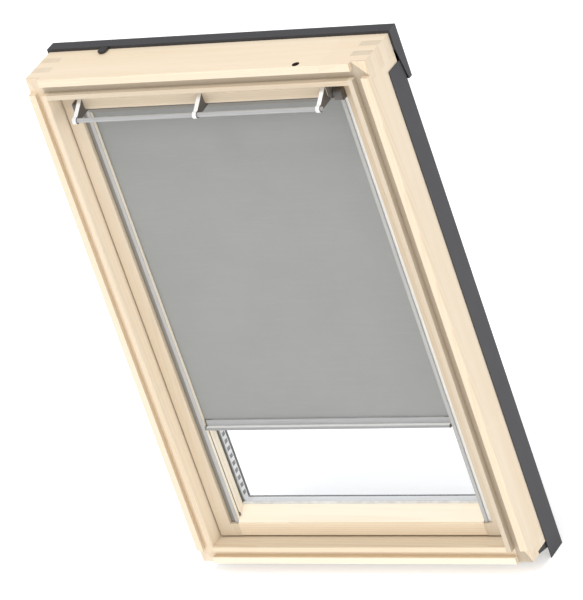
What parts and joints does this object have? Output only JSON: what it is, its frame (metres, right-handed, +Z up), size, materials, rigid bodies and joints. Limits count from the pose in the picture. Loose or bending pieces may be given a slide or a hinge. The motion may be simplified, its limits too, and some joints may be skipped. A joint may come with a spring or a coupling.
{
  "type": "skylight window blind",
  "caption": "Pine centre-pivot roof window with ventilation flap and control bar, and a grey blackout roller blind sliding in side rails.",
  "frame": {"origin": "on the underside of the sill, halfway along it, in the middle of the land on the room side of its seal", "axes": "+X right as seen from the room, +Y outdoors through the glass, +Z up the slope of the roof"},
  "size_m": [0.668, 0.1483, 1.0114],
  "materials": {
    "pine": "clear matt lacquer on pine",
    "lacquered_cover": "dark grey lacquer",
    "satin_aluminium": "satin",
    "steel": "zinc plated",
    "dark_plastic": "moulded, matt",
    "rubber": "matt",
    "clear_glass": "clear",
    "blackout_cloth": "plain weave"
  },
  "bodies": {
    "frame": {"frame_head": "pine", "frame_sill": "pine", "frame_jamb_left": "pine", "frame_jamb_right": "pine", "hood": "lacquered_cover", "side_cover_left": "lacquered_cover", "side_cover_right": "lacquered_cover", "sill_cover": "lacquered_cover", "sill_seal": "rubber", "cover_clip": "dark_plastic", "striker_plate": "steel", "pivot_socket_left": "steel", "pivot_socket_right": "steel"},
    "sash": {"sash_stile_left": "pine", "sash_stile_right": "pine", "sash_top_rail": "pine", "sash_bottom_rail": "pine", "sash_cover_left": "lacquered_cover", "sash_cover_right": "lacquered_cover", "sash_cover_top": "lacquered_cover", "sash_cover_bottom": "lacquered_cover", "inner_pane": "clear_glass", "outer_pane": "clear_glass", "glass_spacer": "satin_aluminium", "inner_gasket": "rubber", "outer_gasket": "rubber", "sash_seal_upper": "rubber", "sash_seal_lower": "rubber", "pivot_arm_left": "steel", "pivot_arm_right": "steel", "lock_case": "steel", "flap_bearing_left": "dark_plastic", "flap_bearing_right": "dark_plastic", "blind_casing": "satin_aluminium", "blind_bracket_left": "dark_plastic", "blind_bracket_right": "dark_plastic", "guide_rail_left": "satin_aluminium", "guide_rail_right": "satin_aluminium", "rail_stop_left": "dark_plastic", "rail_stop_right": "dark_plastic", "spring_rod": "steel", "balance_spring": "steel"},
    "roller": {"roller_tube": "satin_aluminium", "roller_plug_left": "dark_plastic", "roller_plug_right": "dark_plastic", "fabric_roll": "blackout_cloth"},
    "pull_bar": {"pull_bar": "satin_aluminium", "slide_shoe_left": "dark_plastic", "slide_shoe_right": "dark_plastic", "blind_fabric": "blackout_cloth"},
    "flap": {"flap_strip": "pine", "flap_carrier": "satin_aluminium", "flap_end_left": "dark_plastic", "flap_end_right": "dark_plastic", "control_bar": "satin_aluminium", "bar_arm_left": "satin_aluminium", "bar_arm_middle": "satin_aluminium", "bar_arm_right": "satin_aluminium", "flap_seal": "rubber"},
    "latch": {"latch_bolt": "steel"}
  },
  "joints": [
    {"name": "sash_pivot", "type": "hinge", "parent": "frame", "child": "sash", "pos_m": [0, 0.044, 0.489], "axis": [1, 0, 0], "range_deg": [0, 160]},
    {"name": "flap_tilt", "type": "hinge", "parent": "sash", "child": "flap", "pos_m": [0, 0.006, 0.912], "axis": [1, 0, 0], "range_deg": [0, 35]},
    {"name": "bar_slide", "type": "slide", "parent": "sash", "child": "pull_bar", "axis": [0, 0, 1], "range_m": [-0.175, 0.6], "deforming": ["blind_fabric"]},
    {"name": "roller_turn", "type": "hinge", "parent": "sash", "child": "roller", "pos_m": [0, 0.027, 0.9082], "axis": [-1, 0, 0], "range_deg": [-970, 3270]},
    {"name": "latch_slide", "type": "slide", "parent": "sash", "child": "latch", "axis": [0, 0, -1], "range_m": [0, 0.005]}
  ],
  "couplings": [
    {"joint": "roller_turn", "follows": "bar_slide", "rad_per_m": 95},
    {"joint": "latch_slide", "follows": "flap_tilt", "m_per_rad": 0.008}
  ]
}
